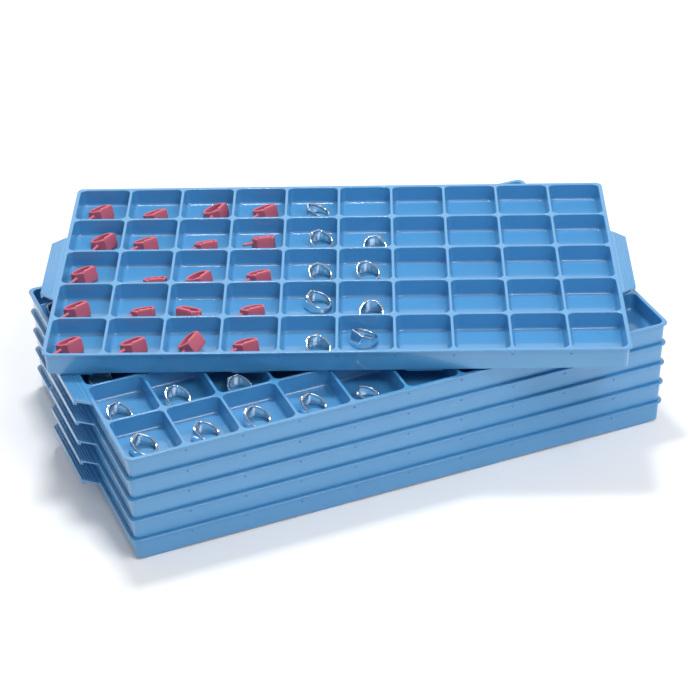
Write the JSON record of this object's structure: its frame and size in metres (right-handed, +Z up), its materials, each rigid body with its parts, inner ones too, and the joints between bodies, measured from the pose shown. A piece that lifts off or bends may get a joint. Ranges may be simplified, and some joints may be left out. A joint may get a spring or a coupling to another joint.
{
  "type": "compartment sorting tray stack",
  "caption": "Stack of nesting injection-moulded sorting trays with a turned tray on top, its pocket grid partly filled with wax ring patterns and finished rings.",
  "frame": {"origin": "on the surface the bottom tray stands on, straight under the middle of the top tray, which is also the middle of the whole stack's outline", "axes": "+Z up; +X along the long side of the five stacked trays, towards the end where the top tray swings forwards; +Y towards their back long side"},
  "size_m": [0.552, 0.4444, 0.134],
  "materials": {
    "blue_plastic": "satin moulded polystyrene",
    "casting_wax": "matte injection wax",
    "polished_metal": "polished silver"
  },
  "bodies": {
    "tray_1": {"tray_1": "blue_plastic"},
    "tray_2": {"tray_2": "blue_plastic"},
    "tray_3": {"tray_3": "blue_plastic"},
    "tray_4": {"tray_4": "blue_plastic"},
    "tray_5": {"tray_5": "blue_plastic", "lower_ring_row1_col1": "polished_metal", "lower_ring_row3_col1": "polished_metal", "lower_ring_row4_col3": "polished_metal"},
    "top_tray": {"top_tray": "blue_plastic"},
    "wax_pattern_row1_col1": {"wax_pattern_row1_col1": "casting_wax"},
    "wax_pattern_row1_col2": {"wax_pattern_row1_col2": "casting_wax"},
    "wax_pattern_row1_col3": {"wax_pattern_row1_col3": "casting_wax"},
    "wax_pattern_row1_col4": {"wax_pattern_row1_col4": "casting_wax"},
    "wax_pattern_row2_col1": {"wax_pattern_row2_col1": "casting_wax"},
    "wax_pattern_row2_col2": {"wax_pattern_row2_col2": "casting_wax"},
    "wax_pattern_row2_col3": {"wax_pattern_row2_col3": "casting_wax"},
    "wax_pattern_row2_col4": {"wax_pattern_row2_col4": "casting_wax"},
    "wax_pattern_row3_col1": {"wax_pattern_row3_col1": "casting_wax"},
    "wax_pattern_row3_col2": {"wax_pattern_row3_col2": "casting_wax"},
    "wax_pattern_row3_col3": {"wax_pattern_row3_col3": "casting_wax"},
    "wax_pattern_row3_col4": {"wax_pattern_row3_col4": "casting_wax"},
    "wax_pattern_row4_col1": {"wax_pattern_row4_col1": "casting_wax"},
    "wax_pattern_row4_col2": {"wax_pattern_row4_col2": "casting_wax"},
    "wax_pattern_row4_col3": {"wax_pattern_row4_col3": "casting_wax"},
    "wax_pattern_row4_col4": {"wax_pattern_row4_col4": "casting_wax"},
    "wax_pattern_row5_col1": {"wax_pattern_row5_col1": "casting_wax"},
    "wax_pattern_row5_col2": {"wax_pattern_row5_col2": "casting_wax"},
    "wax_pattern_row5_col3": {"wax_pattern_row5_col3": "casting_wax"},
    "wax_pattern_row5_col4": {"wax_pattern_row5_col4": "casting_wax"},
    "ring_row1_col5": {"ring_row1_col5": "polished_metal"},
    "ring_row2_col5": {"ring_row2_col5": "polished_metal"},
    "ring_row2_col6": {"ring_row2_col6": "polished_metal"},
    "ring_row3_col5": {"ring_row3_col5": "polished_metal"},
    "ring_row3_col6": {"ring_row3_col6": "polished_metal"},
    "ring_row4_col5": {"ring_row4_col5": "polished_metal"},
    "ring_row4_col6": {"ring_row4_col6": "polished_metal"},
    "ring_row5_col5": {"ring_row5_col5": "polished_metal"},
    "ring_row5_col6": {"ring_row5_col6": "polished_metal"},
    "lower_ring_row4_col1": {"lower_ring_row4_col1": "polished_metal"},
    "lower_ring_row4_col2": {"lower_ring_row4_col2": "polished_metal"},
    "lower_ring_row5_col1": {"lower_ring_row5_col1": "polished_metal"},
    "lower_ring_row5_col2": {"lower_ring_row5_col2": "polished_metal"},
    "lower_ring_row5_col3": {"lower_ring_row5_col3": "polished_metal"},
    "lower_ring_row5_col4": {"lower_ring_row5_col4": "polished_metal"},
    "lower_ring_row5_col5": {"lower_ring_row5_col5": "polished_metal"}
  },
  "joints": [
    {"name": "lift_tray_2", "type": "slide", "parent": "tray_1", "child": "tray_2", "axis": [0, 0, 1], "range_m": [0, 0.06]},
    {"name": "lift_tray_3", "type": "slide", "parent": "tray_2", "child": "tray_3", "axis": [0, 0, 1], "range_m": [0, 0.06]},
    {"name": "lift_tray_4", "type": "slide", "parent": "tray_3", "child": "tray_4", "axis": [0, 0, 1], "range_m": [0, 0.06]},
    {"name": "lift_tray_5", "type": "slide", "parent": "tray_4", "child": "tray_5", "axis": [0, 0, 1], "range_m": [0, 0.06]},
    {"name": "lift_top_tray", "type": "slide", "parent": "tray_5", "child": "top_tray", "axis": [0, 0, 1], "range_m": [0, 0.06]},
    {"name": "lift_wax_pattern_row1_col1", "type": "slide", "parent": "top_tray", "child": "wax_pattern_row1_col1", "axis": [0, 0, 1], "range_m": [0, 0.03]},
    {"name": "lift_wax_pattern_row1_col2", "type": "slide", "parent": "top_tray", "child": "wax_pattern_row1_col2", "axis": [0, 0, 1], "range_m": [0, 0.03]},
    {"name": "lift_wax_pattern_row1_col3", "type": "slide", "parent": "top_tray", "child": "wax_pattern_row1_col3", "axis": [0, 0, 1], "range_m": [0, 0.03]},
    {"name": "lift_wax_pattern_row1_col4", "type": "slide", "parent": "top_tray", "child": "wax_pattern_row1_col4", "axis": [0, 0, 1], "range_m": [0, 0.03]},
    {"name": "lift_wax_pattern_row2_col1", "type": "slide", "parent": "top_tray", "child": "wax_pattern_row2_col1", "axis": [0, 0, 1], "range_m": [0, 0.03]},
    {"name": "lift_wax_pattern_row2_col2", "type": "slide", "parent": "top_tray", "child": "wax_pattern_row2_col2", "axis": [0, 0, 1], "range_m": [0, 0.03]},
    {"name": "lift_wax_pattern_row2_col3", "type": "slide", "parent": "top_tray", "child": "wax_pattern_row2_col3", "axis": [0, 0, 1], "range_m": [0, 0.03]},
    {"name": "lift_wax_pattern_row2_col4", "type": "slide", "parent": "top_tray", "child": "wax_pattern_row2_col4", "axis": [0, 0, 1], "range_m": [0, 0.03]},
    {"name": "lift_wax_pattern_row3_col1", "type": "slide", "parent": "top_tray", "child": "wax_pattern_row3_col1", "axis": [0, 0, 1], "range_m": [0, 0.03]},
    {"name": "lift_wax_pattern_row3_col2", "type": "slide", "parent": "top_tray", "child": "wax_pattern_row3_col2", "axis": [0, 0, 1], "range_m": [0, 0.03]},
    {"name": "lift_wax_pattern_row3_col3", "type": "slide", "parent": "top_tray", "child": "wax_pattern_row3_col3", "axis": [0, 0, 1], "range_m": [0, 0.03]},
    {"name": "lift_wax_pattern_row3_col4", "type": "slide", "parent": "top_tray", "child": "wax_pattern_row3_col4", "axis": [0, 0, 1], "range_m": [0, 0.03]},
    {"name": "lift_wax_pattern_row4_col1", "type": "slide", "parent": "top_tray", "child": "wax_pattern_row4_col1", "axis": [0, 0, 1], "range_m": [0, 0.03]},
    {"name": "lift_wax_pattern_row4_col2", "type": "slide", "parent": "top_tray", "child": "wax_pattern_row4_col2", "axis": [0, 0, 1], "range_m": [0, 0.03]},
    {"name": "lift_wax_pattern_row4_col3", "type": "slide", "parent": "top_tray", "child": "wax_pattern_row4_col3", "axis": [0, 0, 1], "range_m": [0, 0.03]},
    {"name": "lift_wax_pattern_row4_col4", "type": "slide", "parent": "top_tray", "child": "wax_pattern_row4_col4", "axis": [0, 0, 1], "range_m": [0, 0.03]},
    {"name": "lift_wax_pattern_row5_col1", "type": "slide", "parent": "top_tray", "child": "wax_pattern_row5_col1", "axis": [0, 0, 1], "range_m": [0, 0.03]},
    {"name": "lift_wax_pattern_row5_col2", "type": "slide", "parent": "top_tray", "child": "wax_pattern_row5_col2", "axis": [0, 0, 1], "range_m": [0, 0.03]},
    {"name": "lift_wax_pattern_row5_col3", "type": "slide", "parent": "top_tray", "child": "wax_pattern_row5_col3", "axis": [0, 0, 1], "range_m": [0, 0.03]},
    {"name": "lift_wax_pattern_row5_col4", "type": "slide", "parent": "top_tray", "child": "wax_pattern_row5_col4", "axis": [0, 0, 1], "range_m": [0, 0.03]},
    {"name": "lift_ring_row1_col5", "type": "slide", "parent": "top_tray", "child": "ring_row1_col5", "axis": [0, 0, 1], "range_m": [0, 0.03]},
    {"name": "lift_ring_row2_col5", "type": "slide", "parent": "top_tray", "child": "ring_row2_col5", "axis": [0, 0, 1], "range_m": [0, 0.03]},
    {"name": "lift_ring_row2_col6", "type": "slide", "parent": "top_tray", "child": "ring_row2_col6", "axis": [0, 0, 1], "range_m": [0, 0.03]},
    {"name": "lift_ring_row3_col5", "type": "slide", "parent": "top_tray", "child": "ring_row3_col5", "axis": [0, 0, 1], "range_m": [0, 0.03]},
    {"name": "lift_ring_row3_col6", "type": "slide", "parent": "top_tray", "child": "ring_row3_col6", "axis": [0, 0, 1], "range_m": [0, 0.03]},
    {"name": "lift_ring_row4_col5", "type": "slide", "parent": "top_tray", "child": "ring_row4_col5", "axis": [0, 0, 1], "range_m": [0, 0.03]},
    {"name": "lift_ring_row4_col6", "type": "slide", "parent": "top_tray", "child": "ring_row4_col6", "axis": [0, 0, 1], "range_m": [0, 0.03]},
    {"name": "lift_ring_row5_col5", "type": "slide", "parent": "top_tray", "child": "ring_row5_col5", "axis": [0, 0, 1], "range_m": [0, 0.03]},
    {"name": "lift_ring_row5_col6", "type": "slide", "parent": "top_tray", "child": "ring_row5_col6", "axis": [0, 0, 1], "range_m": [0, 0.03]},
    {"name": "lift_lower_ring_row4_col1", "type": "slide", "parent": "tray_5", "child": "lower_ring_row4_col1", "axis": [0, 0, 1], "range_m": [0, 0.03]},
    {"name": "lift_lower_ring_row4_col2", "type": "slide", "parent": "tray_5", "child": "lower_ring_row4_col2", "axis": [0, 0, 1], "range_m": [0, 0.03]},
    {"name": "lift_lower_ring_row5_col1", "type": "slide", "parent": "tray_5", "child": "lower_ring_row5_col1", "axis": [0, 0, 1], "range_m": [0, 0.03]},
    {"name": "lift_lower_ring_row5_col2", "type": "slide", "parent": "tray_5", "child": "lower_ring_row5_col2", "axis": [0, 0, 1], "range_m": [0, 0.03]},
    {"name": "lift_lower_ring_row5_col3", "type": "slide", "parent": "tray_5", "child": "lower_ring_row5_col3", "axis": [0, 0, 1], "range_m": [0, 0.03]},
    {"name": "lift_lower_ring_row5_col4", "type": "slide", "parent": "tray_5", "child": "lower_ring_row5_col4", "axis": [0, 0, 1], "range_m": [0, 0.03]},
    {"name": "lift_lower_ring_row5_col5", "type": "slide", "parent": "tray_5", "child": "lower_ring_row5_col5", "axis": [0, 0, 1], "range_m": [0, 0.03]}
  ]
}
